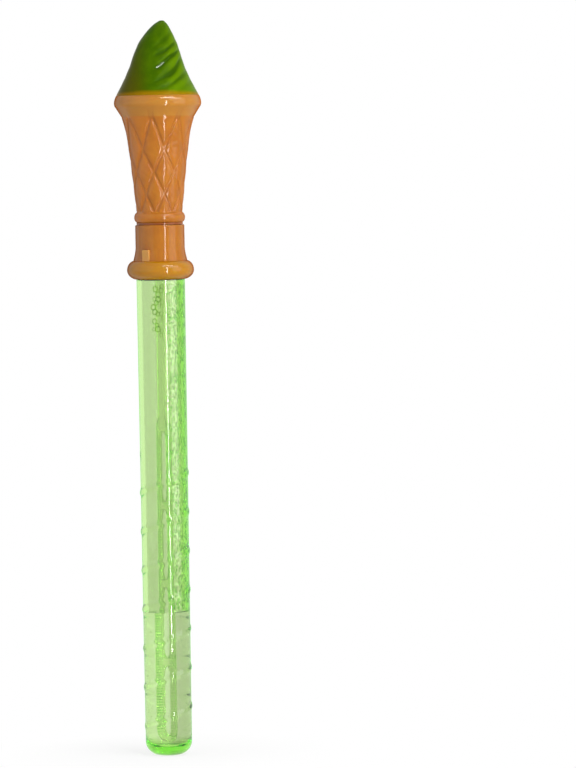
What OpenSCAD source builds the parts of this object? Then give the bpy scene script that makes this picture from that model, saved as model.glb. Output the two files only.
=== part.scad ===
// Bubble wand: a transparent tube of soap solution, closed by a screw collar
// and by a handle shaped like a waffle cone with a twist of soft ice.
// The long paddle under the handle carries a row of loops.
// Millimetres, +Z up, origin on the floor at the middle of the tube's base.

/* [Tube] */
// Height of the tube from the floor to its shoulder
tube_h = 300; // [240:1:380]
// Outside diameter of the tube just below its shoulder
tube_top_d = 30.2; // [29.6:0.1:31]
// Outside diameter of the tube just above its rounded base
tube_base_d = 28.9; // [27:0.1:30]
// Thickness of the tube's side wall
tube_wall = 3; // [2.4:0.1:3.4]
// Thickness of the tube's floor at its middle
tube_floor = 6.5; // [4:0.1:9]
// Radius of the rounded edge of the base
base_round = 8.8; // [6:0.1:10]
// Radius of the bowl at the bottom of the bore
bowl_round = 6; // [3:0.1:8]
// Height of the slope between the wall and the neck
shoulder_h = 0.8; // [0.4:0.1:1.5]

/* [Spiral ridge] */
// Height at which the ridge starts
ridge_low = 13; // [12:0.5:40]
// Height at which the ridge ends
ridge_high = 191; // [100:1:230]
// Rise of the ridge in one turn
ridge_pitch = 24.45; // [15:0.05:40]
// Direction in which the ridge starts, counted from +X
ridge_start = 101; // [0:1:359]
// Width of the ridge along the tube
ridge_w = 6; // [3:0.1:8]
// Height of the ridge above the wall
ridge_proud = 1; // [0.5:0.1:1.2]

/* [Neck] */
// Height of the neck above the shoulder
neck_h = 14; // [13:0.1:15]
// Bore of the neck, which the paddle passes through
neck_bore_d = 22; // [20.5:0.1:22.4]
// Diameter of the neck between its threads
neck_core_d = 25; // [24.6:0.1:25.2]
// Rise of the screw thread in one turn
thread_pitch = 4; // [3.6:0.1:4.4]
// Turns of thread on the neck
neck_thread_turns = 1.9; // [1.2:0.1:1.9]
// Turns of thread inside the collar
collar_thread_turns = 1.7; // [1:0.1:1.9]
// Height of each thread above its wall
thread_proud = 1; // [0.8:0.05:1.05]

/* [Bubble solution] */
// Depth of the solution above the floor of the bore
solution_depth = 83.5; // [40:0.5:150]

/* [Collar] */
// Height of the collar
collar_h = 34.3; // [32:0.1:38]
// Diameter of the collar's plain upper part
collar_d = 30.7; // [30.2:0.1:32]
// Widest diameter of the bell at the foot of the collar
bell_d = 41.8; // [38:0.1:46]
// Height of the bell
bell_h = 12; // [10:0.1:14]
// Diameter of the collar's foot where it meets the bell
foot_d = 33.8; // [33:0.1:35]
// Height of the foot's hollow curve
foot_h = 8; // [4:0.1:10]
// Width of the lug on the collar
lug_w = 7; // [4:0.1:8]
// Height of the lug above the bell
lug_h = 7; // [5:0.1:9]
// How far the lug stands out of the collar
lug_proud = 1.7; // [1:0.1:2.5]
// Direction that the lug faces, counted from +X
lug_angle = 237; // [0:1:359]

/* [Stopper] */
// Diameter of the plug that closes the collar
plug_d = 24; // [23.4:0.1:24.6]
// Thickness of the soft seal ring
seal_thick = 1.8; // [1.5:0.1:2.2]
// Height of the sunk line between the collar and the cone
joint_line_h = 1.4; // [0.8:0.1:2]
// Depth of that sunk line
joint_line_deep = 0.9; // [0.4:0.1:1.2]
// Depth of the socket that holds the paddle's tang
tang_socket = 9; // [6:0.1:11]
// Thickness of the washer between the neck and the collar
washer_thick = 1.2; // [0.8:0.1:1.8]

/* [Waffle cone] */
// Diameter of the waffle just above the bead
waist_d = 28.4; // [28:0.1:30]
// Diameter of the waffle under the rim
waffle_top_d = 45.2; // [42:0.1:48]
// Height of the waffle between the bead and the rim
waffle_h = 59.6; // [45:0.1:75]
// Diameter of the bead round the waist
bead_d = 31.7; // [31.2:0.1:34]
// Height of the bead
bead_h = 6.4; // [5:0.1:8]
// Widest diameter of the rim
rim_d = 54.5; // [52:0.1:60]
// Height of the widest line above the foot of the rim
rim_rise = 8.4; // [7:0.1:10]
// Radius of the rim's curve below its widest line
rim_round = 4.2; // [3.4:0.1:5]
// Height from the rim's widest line up to the swirl
rim_crown_h = 4.8; // [3:0.1:7]
// Thickness of the cone's wall
cone_wall = 1.6; // [1.4:0.1:1.8]
// Number of diamonds round the waffle
diamonds = 8; // [6:1:10]
// Direction of the first crossing of lines, counted from +X
waffle_turn = -11; // [-22:1:22]
// Depth of the lines pressed into the waffle
line_deep = 0.6; // [0.2:0.05:0.8]

/* [Swirl] */
// Height of the swirl above the rim
swirl_h = 46.8; // [30:0.1:70]
// How far the tip leans away from the middle
lean = 5.6; // [0:0.1:8]
// Direction in which the tip leans, counted from +X
lean_angle = 52; // [0:1:359]
// Distance between the folds, up the swirl
fold_step = 5.9; // [5:0.1:16]
// Direction towards which the folds rise, counted from +X
fold_angle = 28; // [0:1:359]
// Depth of the folds
fold_deep = 0.9; // [0.2:0.1:1.3]
// Thickness of the swirl's wall
swirl_wall = 1.6; // [1.2:0.1:2.2]

/* [Paddle] */
// Direction of the paddle's width, counted from +X
paddle_turn = -65; // [-90:1:90]
// Width of the paddle over its teeth
paddle_w = 17.6; // [15:0.1:18.4]
// Thickness of the paddle
paddle_thick = 3; // [2:0.1:3.4]
// Width of the stem and of the tang in the stopper
stem_w = 10; // [8:0.1:12]
// Length of the toothed part with the loops
toothed_len = 200; // [120:1:220]
// Number of loops
loops = 4; // [2:1:6]
// Width of the side rails without their teeth
rail_w = 2.4; // [2:0.1:2.8]
// Width of the bars between the loops
bar_w = 4; // [3:0.1:6]
// Distance from tooth to tooth
tooth_step = 1.7; // [1.5:0.1:3]
// Depth of the notches between the teeth
tooth_deep = 0.7; // [0.3:0.05:0.9]
// Gap between the paddle's tip and the floor of the bore
tip_gap = 1.2; // [1:0.1:4]

/* [Hidden] */

$fn = 96;
// How far a cut runs past the faces that it opens
over = 0.5;
// Gap between flat faces of bodies that move apart
seat_gap = 0.2;
// Gap round a piece that is pressed or glued in
press_gap = 0.05;
// Gap round the seal ring, which slides in the collar
slide_gap = 0.06;
// Gap round pieces that turn or lift past each other
turn_gap = 0.35;
// Space left in the solution round the paddle's edges, and beside its faces
dip_gap = 0.8;
dip_side_gap = 1.5;
// Steps in a rounded edge, and in one turn of a ridge or thread
arc_steps = 10;
turn_steps = 24;

// Points of an arc round the point [x, y], from one angle to another
function arc(x, y, rx, ry, from, to) =
    [for (i = [0 : arc_steps]) let (a = from + (to - from) * i / arc_steps)
        [x + rx * cos(a), y + ry * sin(a)]];

// Value at a place in a table of [place, value] pairs, by straight lines
function along(table, place, i = 0) =
    i >= len(table) - 2 || place <= table[i + 1][0]
        ? table[i][1] + (table[i + 1][1] - table[i][1])
            * (place - table[i][0]) / (table[i + 1][0] - table[i][0])
        : along(table, place, i + 1);

// A bar that climbs a helix. The section lists [outward, upward] points round
// it, wall_r gives the wall's radius at a height, and what stands off the wall
// on the given side (1 out, -1 in) fades to nothing over fade turns at each end.
module helix_bar(section, side, low_z, pitch, turns, start, fade, wall_r) {
    steps = ceil(turns * turn_steps);
    sides = len(section);
    least_share = 0.05;
    function swell(t) =
        min(1, least_share + t * turns / fade, least_share + (1 - t) * turns / fade);
    points = [for (i = [0 : steps])
        let (t = i / steps, a = start + 360 * turns * t, z = low_z + pitch * turns * t)
        for (p = section)
            let (out = p[0] * side > 0 ? p[0] * swell(t) : p[0], r = wall_r(z) + out)
            [r * cos(a), r * sin(a), z + p[1]]];
    walls = [for (i = [0 : steps - 1], k = [0 : sides - 1])
        let (a = i * sides + k, b = i * sides + (k + 1) % sides)
        each [[a, b, a + sides], [b, b + sides, a + sides]]];
    first = [for (k = [sides - 1 : -1 : 0]) k];
    last = [for (k = [0 : sides - 1]) steps * sides + k];
    polyhedron(points, concat([first], walls, [last]));
}

// TUBE, with its neck, spiral ridge and thread
base_r = tube_base_d / 2;
shoulder_r = tube_top_d / 2;
neck_core_r = neck_core_d / 2;
neck_bore_r = neck_bore_d / 2;
neck_top = tube_h + neck_h;
bowl_top = tube_floor + bowl_round;
function tube_r(z) =
    base_r + (shoulder_r - base_r) * (z - base_round) / (tube_h - shoulder_h - base_round);
function bore_r(z) = tube_r(z) - tube_wall;
// The bore narrows to the neck by a slope of 45 degrees
neck_slope_top = tube_h - tube_wall;
neck_slope_low = neck_slope_top - (bore_r(neck_slope_top) - neck_bore_r);

ridge_sink = 0.5;
ridge_section_shares = [[0.6, -0.3], [1, -0.1], [1, 0.1], [0.6, 0.3]];
ridge_section = concat(
    [[-ridge_sink, -ridge_w / 2]],
    [for (p = ridge_section_shares) [p[0] * ridge_proud, p[1] * ridge_w]],
    [[-ridge_sink, ridge_w / 2]]);
ridge_turns = (ridge_high - ridge_low) / ridge_pitch;
ridge_fade = 0.3;

// Widths of a thread and its height above the shoulder, as shares of its pitch
thread_root_share = 0.5;
thread_tip_share = 0.25;
thread_lift_share = 0.6;
thread_root_w = thread_root_share * thread_pitch;
thread_tip_w = thread_tip_share * thread_pitch;
thread_sink = 0.4;
thread_fade = 0.1;
neck_thread_low = tube_h + turn_gap + thread_lift_share * thread_pitch;

// Outline of the bore's bowl from its middle outwards, drawn in by a gap
function bowl_outline(gap) = concat(
    [[0, tube_floor + gap]],
    arc(bore_r(bowl_top) - bowl_round, bowl_top, bowl_round - gap, bowl_round - gap, 270, 360));

module tube() {
    bowl = bowl_outline(0);
    color([0.66, 0.87, 0.47, 0.55]) {
        rotate_extrude()
            polygon(concat(
                [[0, 0]],
                arc(base_r - base_round, base_round, base_round, base_round, 270, 360),
                [[shoulder_r, tube_h - shoulder_h],
                 [shoulder_r - shoulder_h, tube_h],
                 [neck_core_r, tube_h],
                 [neck_core_r, neck_top],
                 [neck_bore_r, neck_top],
                 [neck_bore_r, neck_slope_top],
                 [bore_r(neck_slope_low), neck_slope_low]],
                [for (i = [len(bowl) - 1 : -1 : 0]) bowl[i]]));
        helix_bar(ridge_section, 1, ridge_low, ridge_pitch, ridge_turns, ridge_start, ridge_fade,
                  function(z) tube_r(z));
        helix_bar([[-thread_sink, -thread_root_w / 2], [thread_proud, -thread_tip_w / 2],
                   [thread_proud, thread_tip_w / 2], [-thread_sink, thread_root_w / 2]],
                  1, neck_thread_low, thread_pitch, neck_thread_turns, 0, thread_fade,
                  function(z) neck_core_r);
    }
}

// SOLUTION, with a slot where the paddle dips into it
solution_top = tube_floor + solution_depth;
tip_z = tube_floor + tip_gap;

// Half width of the paddle over its teeth and at their roots, and the middle of
// its rounded end
paddle_half = paddle_w / 2;
rail_r = paddle_half - tooth_deep;
end_z = tip_z + rail_r;

module bubble_solution() {
    slot_half = paddle_half + dip_gap;
    slot_end_r = rail_r + dip_gap;
    color([0.72, 0.9, 0.55, 0.5])
        difference() {
            rotate_extrude()
                polygon(concat(
                    bowl_outline(press_gap),
                    [[bore_r(solution_top) - press_gap, solution_top], [0, solution_top]]));
            rotate([90, 0, paddle_turn])
                linear_extrude(paddle_thick + 2 * dip_side_gap, center = true)
                    polygon(concat(
                        arc(0, end_z, slot_end_r, slot_end_r, 180, 360),
                        [[slot_half, end_z], [slot_half, solution_top + over],
                         [-slot_half, solution_top + over], [-slot_half, end_z]]));
        }
}

// COLLAR, which screws on the neck and takes the stopper
skirt_drop = 1.7;
collar_low = tube_h - skirt_drop;
collar_top = collar_low + collar_h;
collar_r = collar_d / 2;
foot_r = foot_d / 2;
bell_r = bell_d / 2;
bell_mid_z = collar_low + bell_h / 2;
skirt_r = shoulder_r + turn_gap;
thread_clear = 0.5;
collar_bore_r = neck_core_r + thread_proud + thread_clear;
ledge_low = neck_top + washer_thick + 2 * seat_gap;
ledge_thick = 1.5;
ledge_top = ledge_low + ledge_thick;
plug_r = plug_d / 2;
plug_room = 0.6;
socket_r = plug_r + plug_room;
top_edge_round = 0.8;
// Half widths of the bell's curve below and above its widest line
bell_under = 7.6;
bell_over = 4.9;
lip_w = 0.5;
lip_angle = acos((skirt_r + lip_w - (bell_r - bell_under)) / bell_under);
crease_angle = acos((foot_r - (bell_r - bell_over)) / bell_over);
foot_low = bell_mid_z + bell_h / 2 * sin(crease_angle);
foot_curve = 1.4;

module collar() {
    thread_turns_below = 0.75;
    thread_start_z = neck_thread_low + thread_pitch / 2 - thread_turns_below * thread_pitch;
    foot = [for (i = [1 : arc_steps]) let (t = i / arc_steps)
        [collar_r + (foot_r - collar_r) * pow(1 - t, foot_curve), foot_low + foot_h * t]];
    lug_foot = 2.2;
    lug_corner = 0.8;
    lug_low = foot_low - lug_foot;
    corner_up = lug_foot + lug_h - lug_corner;
    lug_sink = (collar_r - collar_bore_r) / 2;
    color([0.85, 0.58, 0.33]) {
        rotate_extrude()
            polygon(concat(
                [[skirt_r, bell_mid_z - bell_h / 2 * sin(lip_angle)]],
                arc(bell_r - bell_under, bell_mid_z, bell_under, bell_h / 2, -lip_angle, 0),
                arc(bell_r - bell_over, bell_mid_z, bell_over, bell_h / 2,
                    crease_angle / arc_steps, crease_angle),
                foot,
                arc(collar_r - top_edge_round, collar_top - top_edge_round,
                    top_edge_round, top_edge_round, 0, 90),
                [[socket_r, collar_top],
                 [socket_r, ledge_top],
                 [neck_bore_r, ledge_top],
                 [neck_bore_r, ledge_low],
                 [collar_bore_r, ledge_low],
                 [collar_bore_r, tube_h + turn_gap],
                 [skirt_r, tube_h + turn_gap]]));
        helix_bar([[thread_sink, thread_root_w / 2], [-thread_proud, thread_tip_w / 2],
                   [-thread_proud, -thread_tip_w / 2], [thread_sink, -thread_root_w / 2]],
                  -1, thread_start_z, thread_pitch, collar_thread_turns,
                  -360 * thread_turns_below, thread_fade, function(z) collar_bore_r);
        rotate([0, 0, lug_angle])
            translate([collar_r - lug_sink, 0, lug_low])
                rotate([90, 0, 90])
                    linear_extrude(lug_sink + lug_proud)
                        polygon(concat(
                            [[-lug_w / 2, 0], [lug_w / 2, 0]],
                            arc(lug_w / 2 - lug_corner, corner_up, lug_corner, lug_corner, 0, 90),
                            arc(lug_corner - lug_w / 2, corner_up, lug_corner, lug_corner, 90, 180)));
    }
}

module neck_washer() {
    color([0.95, 0.95, 0.92])
        translate([0, 0, neck_top + seat_gap])
            difference() {
                cylinder(h = washer_thick, r = collar_bore_r - turn_gap);
                translate([0, 0, -over])
                    cylinder(h = washer_thick + 2 * over, r = neck_bore_r);
            }
}

// STOPPER, glued into the cone; its plug and seal close the collar
cone_low = collar_top + joint_line_h;
cone_bore_r = waist_d / 2 - cone_wall;
plug_lift = 1.2;
plug_low = ledge_top + plug_lift;
plug_chamfer = 0.8;
plug_wall = 1.6;
seal_gap = 0.15;
seal_r = socket_r - slide_gap - seal_thick / 2;
seal_z = (plug_low + collar_top) / 2;
seal_groove_h = seal_thick + 2 * seal_gap;
seal_groove_r = seal_r - seal_thick / 2 - seal_gap;

module stopper() {
    boss_r = cone_bore_r - press_gap;
    boss_top = cone_low + bead_h + plug_wall;
    hollow_r = seal_groove_r - plug_wall;
    hollow_low = plug_low + tang_socket + plug_wall;
    line_r = collar_r - joint_line_deep;
    slot_w = stem_w + 2 * press_gap;
    slot_thick = paddle_thick + 2 * press_gap;
    color([0.82, 0.55, 0.31])
        difference() {
            rotate_extrude()
                polygon([
                    [0, plug_low],
                    [plug_r - plug_chamfer, plug_low],
                    [plug_r, plug_low + plug_chamfer],
                    [plug_r, seal_z - seal_groove_h / 2],
                    [seal_groove_r, seal_z - seal_groove_h / 2],
                    [seal_groove_r, seal_z + seal_groove_h / 2],
                    [plug_r, seal_z + seal_groove_h / 2],
                    [plug_r, collar_top + seat_gap],
                    [line_r, collar_top + seat_gap],
                    [line_r, cone_low],
                    [boss_r, cone_low],
                    [boss_r, boss_top],
                    [hollow_r, boss_top],
                    [hollow_r, hollow_low],
                    [0, hollow_low]]);
            rotate([0, 0, paddle_turn])
                translate([-slot_w / 2, -slot_thick / 2, plug_low - over])
                    cube([slot_w, slot_thick, tang_socket + over]);
        }
}

module stopper_seal() {
    color([0.25, 0.27, 0.26])
        rotate_extrude()
            translate([seal_r, seal_z])
                circle(d = seal_thick);
}

// WAFFLE CONE, a hollow shell with a bead, pressed lines and a rim
waist_r = waist_d / 2;
waffle_top_r = waffle_top_d / 2;
bead_top = cone_low + bead_h;
crease_z = bead_top + waffle_h;
rim_mid_z = crease_z + rim_rise;
rim_r = rim_d / 2;
rim_step = 0.3;
rim_low_angle = -40;
rim_draw_in = 1.4;
rim_top = rim_mid_z + rim_crown_h;
rim_top_r = rim_r - rim_draw_in;
rim_seat_w = 2;
mouth_r = rim_top_r - rim_seat_w;
// Most of the waffle widens evenly, and the rest flares near the rim
even_share = 0.72;
flare_power = 6;
function waffle_r(z) =
    let (u = min(1, max(0, (z - bead_top) / waffle_h)))
    waist_r + (waffle_top_r - waist_r) * (even_share * u + (1 - even_share) * pow(u, flare_power));

// Heights of the rows where lines cross, as shares of the waffle's height
crossing_row_shares = [-0.03, 0.19, 0.42, 0.65, 1.012];
// Half width of a line, as a share of the space between crossings
line_share = 0.11;

// The waffle's surface. Lines join every second node of a net of cells, and
// each cell has one line from corner to corner, drawn by twelve triangles.
module waffle_block() {
    columns = 2 * diamonds;
    rows = len(crossing_row_shares) - 1;
    cells = columns * rows;
    nodes = columns * (rows + 1);
    row_table = [for (j = [0 : rows]) [j, bead_top + waffle_h * crossing_row_shares[j]]];
    function is_deep(k, j) = (k + j) % 2 == 0;
    function place(across, up, deep) =
        let (a = waffle_turn + 360 * across / columns, z = along(row_table, up),
             r = waffle_r(z) - (deep ? line_deep : 0))
        [r * cos(a), r * sin(a), z];
    function near_deep(k, j) = is_deep(k, j) ? line_share : 1 - line_share;
    corner_points = [for (j = [0 : rows], k = [0 : columns - 1]) place(k, j, is_deep(k, j))];
    flat_points = [for (j = [0 : rows], k = [0 : columns - 1]) place(k + near_deep(k, j), j, false)];
    upright_points = [for (j = [0 : rows - 1], k = [0 : columns - 1]) place(k, j + near_deep(k, j), false)];
    middle_points = [for (j = [0 : rows - 1], k = [0 : columns - 1]) place(k + 1 / 2, j + 1 / 2, true)];
    near = (1 - line_share) / 2;
    far = (1 + line_share) / 2;
    low_points = [for (j = [0 : rows - 1], k = [0 : columns - 1])
        place(k + (is_deep(k, j) ? far : near), j + near, false)];
    high_points = [for (j = [0 : rows - 1], k = [0 : columns - 1])
        place(k + (is_deep(k, j) ? near : far), j + far, false)];
    function corner(k, j) = j * columns + k % columns;
    function flat_at(k, j) = nodes + j * columns + k % columns;
    function upright_at(k, j) = 2 * nodes + j * columns + k % columns;
    function middle_at(k, j) = 2 * nodes + cells + j * columns + k;
    function low_at(k, j) = middle_at(k, j) + cells;
    function high_at(k, j) = middle_at(k, j) + 2 * cells;
    function turned(face, back) = back ? [face[0], face[2], face[1]] : face;
    // One side of a line: start and end are its deep corners, peak is a high one
    function side_faces(start, low, peak, up, end, edge, mid, back) = [
        turned([start, edge, low], back), turned([start, mid, edge], back),
        turned([mid, up, edge], back), turned([mid, end, up], back),
        turned([low, edge, peak], back), turned([edge, up, peak], back)];
    function cell_faces(k, j) =
        let (even = is_deep(k, j),
             start = corner(even ? k : k + 1, j), peak = corner(even ? k + 1 : k, j),
             end = corner(even ? k + 1 : k, j + 1), crest = corner(even ? k : k + 1, j + 1),
             inner = upright_at(even ? k + 1 : k, j), outer = upright_at(even ? k : k + 1, j))
        concat(
            side_faces(start, flat_at(k, j), peak, inner, end, low_at(k, j), middle_at(k, j), !even),
            side_faces(start, outer, crest, flat_at(k, j + 1), end, high_at(k, j), middle_at(k, j), even));
    bottom = [for (k = [0 : columns - 1]) each [corner(k, 0), flat_at(k, 0)]];
    top = [for (k = [columns - 1 : -1 : 0]) each [flat_at(k, rows), corner(k, rows)]];
    polyhedron(
        concat(corner_points, flat_points, upright_points, middle_points, low_points, high_points),
        concat([bottom], [for (j = [0 : rows - 1], k = [0 : columns - 1]) each cell_faces(k, j)], [top]));
}

module waffle_cone() {
    bead_r = bead_d / 2;
    bead_curve = 2.2;
    rim_foot_r = waffle_top_r + rim_step;
    cavity_steps = 12;
    cavity_low = bead_top + cone_wall;
    cavity = [for (i = [0 : cavity_steps])
        let (z = cavity_low + (crease_z - cavity_low) * i / cavity_steps)
        [waffle_r(z) - cone_wall - line_deep / 2, z]];
    crown = [for (i = [1 : arc_steps]) let (t = i / arc_steps)
        [rim_r - rim_draw_in * t * t, rim_mid_z + rim_crown_h * t]];
    color([0.85, 0.56, 0.32])
        difference() {
            union() {
                waffle_block();
                rotate_extrude()
                    polygon(concat(
                        [[0, cone_low]],
                        arc(bead_r - bead_curve, cone_low + bead_h / 2, bead_curve, bead_h / 2, -90, 90),
                        [[0, bead_top]]));
                rotate_extrude()
                    polygon(concat(
                        [[0, crease_z], [rim_foot_r, crease_z]],
                        arc(rim_r - rim_round, rim_mid_z, rim_round, rim_round, rim_low_angle, 0),
                        crown,
                        [[0, rim_top]]));
            }
            rotate_extrude()
                polygon(concat(
                    [[0, cone_low - over], [cone_bore_r, cone_low - over], [cone_bore_r, cavity_low]],
                    cavity,
                    [[mouth_r, rim_mid_z - rim_round], [mouth_r, rim_top + over], [0, rim_top + over]]));
        }
}

// SWIRL, a hollow shell whose folds are layers that rise towards its lean
swirl_low = rim_top + press_gap;
swirl_r = rim_top_r;
swirl_sides = 48;
swirl_rings = 32;
inner_rings = 10;
// The swirl's radius up its height, both as shares
swirl_profile_shares = [
    [0, 1], [0.1, 0.905], [0.2, 0.812], [0.3, 0.73], [0.4, 0.655], [0.5, 0.597], [0.6, 0.535],
    [0.7, 0.466], [0.8, 0.362], [0.88, 0.265], [0.94, 0.18], [0.98, 0.1], [1, 0.03]];
lean_power = 4.5;
// Rise of the folds across the swirl, as a share of its radius there, at the
// foot and above steep_share of the height
fold_slope_low = 0.4;
fold_slope = 0.8;
steep_share = 0.35;
// Shares over which the folds fade towards the smooth side, the foot and the tip
smooth_side_share = 0.6;
smooth_foot_share = 0.15;
smooth_tip_share = 0.12;
function lean_at(t) = lean * pow(t, lean_power);
function fold_strength(a, t) =
    min(1, (1 + cos(a - lean_angle)) / smooth_side_share)
    * min(1, t / smooth_foot_share) * min(1, (1 - t) / smooth_tip_share);
function fold(a, t) =
    let (r = swirl_r * along(swirl_profile_shares, t),
         slope = fold_slope_low + (fold_slope - fold_slope_low) * min(1, t / steep_share),
         height = swirl_h * t - slope * r * cos(a - fold_angle))
    fold_deep * fold_strength(a, t) * pow(1 - abs(sin(180 * height / fold_step)), 2);

module swirl_top() {
    spigot_r = mouth_r - 2 * press_gap;
    spigot_h = 5;
    seat_thick = swirl_wall;
    inner_top_share = 0.88;
    function ring(t, r_less, folded) = [for (i = [0 : swirl_sides - 1])
        let (a = 360 * i / swirl_sides,
             r = swirl_r * along(swirl_profile_shares, t) - r_less - (folded ? fold(a, t) : 0))
        [r * cos(a) + lean_at(t) * cos(lean_angle), r * sin(a) + lean_at(t) * sin(lean_angle),
         swirl_low + swirl_h * t]];
    function plain_ring(r, z) = [for (i = [0 : swirl_sides - 1])
        let (a = 360 * i / swirl_sides) [r * cos(a), r * sin(a), z]];
    function middle(t) =
        [lean_at(t) * cos(lean_angle), lean_at(t) * sin(lean_angle), swirl_low + swirl_h * t];
    inner_start = (seat_thick + swirl_wall) / swirl_h;
    rings = concat(
        [for (i = [swirl_rings : -1 : 0]) ring(i / (swirl_rings + 1), 0, true)],
        [plain_ring(spigot_r, swirl_low), plain_ring(spigot_r, swirl_low - spigot_h),
         plain_ring(spigot_r - swirl_wall, swirl_low - spigot_h),
         plain_ring(spigot_r - swirl_wall, swirl_low + seat_thick)],
        [for (i = [1 : inner_rings])
            ring(inner_start + (inner_top_share - inner_start) * i / inner_rings,
                 swirl_wall + fold_deep, false)]);
    last = len(rings) * swirl_sides + 1;
    faces = concat(
        [for (k = [0 : swirl_sides - 1]) [0, 1 + (k + 1) % swirl_sides, 1 + k]],
        [for (j = [0 : len(rings) - 2], k = [0 : swirl_sides - 1])
            let (a = 1 + j * swirl_sides + k, b = 1 + j * swirl_sides + (k + 1) % swirl_sides)
            each [[a, b, a + swirl_sides], [b, b + swirl_sides, a + swirl_sides]]],
        [for (k = [0 : swirl_sides - 1])
            let (base = 1 + (len(rings) - 1) * swirl_sides)
            [base + k, base + (k + 1) % swirl_sides, last]]);
    color([0.36, 0.56, 0.06])
        polyhedron(concat([middle(1)], [for (r = rings) each r], [middle(inner_top_share)]), faces);
}

// PADDLE, one flat moulding that hangs from the stopper
module wand_paddle() {
    toothed_top = tip_z + toothed_len;
    teeth = floor((toothed_top - end_z) / tooth_step);
    tooth_shares = [[0.15, 1], [0.55, 1], [0.7, 0], [1, 0]];
    taper = paddle_half - stem_w / 2;
    tang_top = plug_low + tang_socket - press_gap;
    loop_r = rail_r - rail_w;
    loop_len = (toothed_len - (loops + 1) * bar_w) / loops;
    side = concat(
        [for (i = [0 : teeth - 1], p = tooth_shares)
            [rail_r + p[1] * tooth_deep, end_z + (i + p[0]) * tooth_step]],
        [[rail_r, toothed_top], [stem_w / 2, toothed_top + taper], [stem_w / 2, tang_top]]);
    color([0.6, 0.86, 0.4, 0.8])
        rotate([90, 0, paddle_turn])
            linear_extrude(paddle_thick, center = true)
                difference() {
                    polygon(concat(
                        arc(0, end_z, rail_r, rail_r, 180, 360),
                        side,
                        [for (i = [len(side) - 1 : -1 : 0]) [-side[i][0], side[i][1]]]));
                    for (i = [0 : loops - 1])
                        let (low = tip_z + bar_w + i * (loop_len + bar_w))
                        polygon(concat(
                            arc(0, low + loop_r, loop_r, loop_r, 180, 360),
                            arc(0, low + loop_len - loop_r, loop_r, loop_r, 0, 180)));
                }
}

tube();
bubble_solution();
collar();
neck_washer();
stopper();
stopper_seal();
waffle_cone();
swirl_top();
wand_paddle();
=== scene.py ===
import math

import bmesh
import bpy
import numpy as np
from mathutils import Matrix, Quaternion, Vector


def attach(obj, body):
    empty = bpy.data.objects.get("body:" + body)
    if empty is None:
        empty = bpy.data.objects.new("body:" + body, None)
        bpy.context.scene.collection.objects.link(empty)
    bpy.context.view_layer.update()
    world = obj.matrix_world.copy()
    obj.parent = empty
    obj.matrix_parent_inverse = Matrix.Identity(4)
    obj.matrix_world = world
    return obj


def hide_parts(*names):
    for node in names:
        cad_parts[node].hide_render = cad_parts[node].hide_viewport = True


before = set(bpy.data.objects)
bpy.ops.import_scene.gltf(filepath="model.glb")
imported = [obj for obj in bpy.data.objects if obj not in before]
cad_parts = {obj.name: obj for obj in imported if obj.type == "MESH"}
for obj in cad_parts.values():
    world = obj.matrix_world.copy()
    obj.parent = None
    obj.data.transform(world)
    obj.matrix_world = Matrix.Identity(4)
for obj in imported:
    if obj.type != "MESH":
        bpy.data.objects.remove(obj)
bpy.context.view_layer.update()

# Tube
# A bottle of clear green polystyrene, moulded in one with its heavy rounded
# base, its spiral ridge and the threaded neck that the collar hides.
MM = 0.001
ROUND_STEPS = 12

tube_h = 300
tube_r_top = 15.1
tube_r_base = 14.45
tube_wall = 3
tube_floor = 6.5
base_round = 8.8
bowl_round = 6
shoulder = 0.8
neck_top = 314
neck_r = 12.5
neck_bore_r = 11
slope_top = 299
slope_low = 298
liquid_top = 90
tube_sides = 180


def arc(r, z, across, up, start, end, steps=ROUND_STEPS):
    """Points (radius, height) of an arc round the point (r, z), between two angles."""
    turns = np.radians(np.linspace(start, end, steps + 1))
    return [(r + across * math.cos(t), z + up * math.sin(t)) for t in turns]


def angles(sides):
    """The directions of the points in a ring, in radians."""
    return np.arange(sides) * 2 * math.pi / sides


def lathe(profile, sides, swell=None):
    """Rings of points for a profile of (radius, height). swell(angle, height) adds to the radius."""
    turns = angles(sides)
    rings = []
    for r, z in profile:
        reach = r + (swell(turns, z) if swell else np.zeros(sides))
        rings.append(np.stack([reach * np.cos(turns), reach * np.sin(turns), np.full(sides, z)], axis=1))
    return rings


def faced_out(mesh, merge=0.0):
    """Turns a mesh's faces outwards, after joining the points that are nearer than merge."""
    work = bmesh.new()
    work.from_mesh(mesh)
    if merge:
        bmesh.ops.remove_doubles(work, verts=work.verts, dist=merge)
    bmesh.ops.recalc_face_normals(work, faces=work.faces)
    work.to_mesh(mesh)
    work.free()
    return mesh


def skin(name, rings, low=None, high=None, loop=False):
    """A mesh over rings of points, in millimetres. The points low and high close its
    ends, or loop joins the last ring to the first."""
    rings = np.array(rings)
    count, sides = rings.shape[:2]
    index = np.arange(count * sides).reshape(count, sides)
    below = index if loop else index[:-1]
    above = np.roll(index, -1, axis=0) if loop else index[1:]
    quads = np.stack([below, np.roll(below, -1, 1), np.roll(above, -1, 1), above], axis=-1)
    faces = quads.reshape(-1, 4).tolist()
    points = rings.reshape(-1, 3).tolist()
    for pole, ring in ((low, index[0]), (high, index[-1])):
        if pole is not None:
            points.append(list(pole))
            faces += [[int(a), int(b), len(points) - 1] for a, b in zip(ring, np.roll(ring, -1))]
    mesh = bpy.data.meshes.new(name)
    mesh.from_pydata([[c * MM for c in point] for point in points], [], faces)
    return faced_out(mesh)


def piece(name, mesh, body, finishes, node=None, sharp=35):
    """Makes an object of a mesh, which rides on a body and may stand for a CAD node. Edges
    over sharp degrees stay hard."""
    thing = bpy.data.objects.new(name, mesh)
    bpy.context.collection.objects.link(thing)
    for finish in finishes:
        mesh.materials.append(finish.material)
    mesh.shade_smooth()
    mesh.set_sharp_from_angle(angle=math.radians(sharp))
    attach(thing, body)
    if node:
        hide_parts(node)


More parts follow.
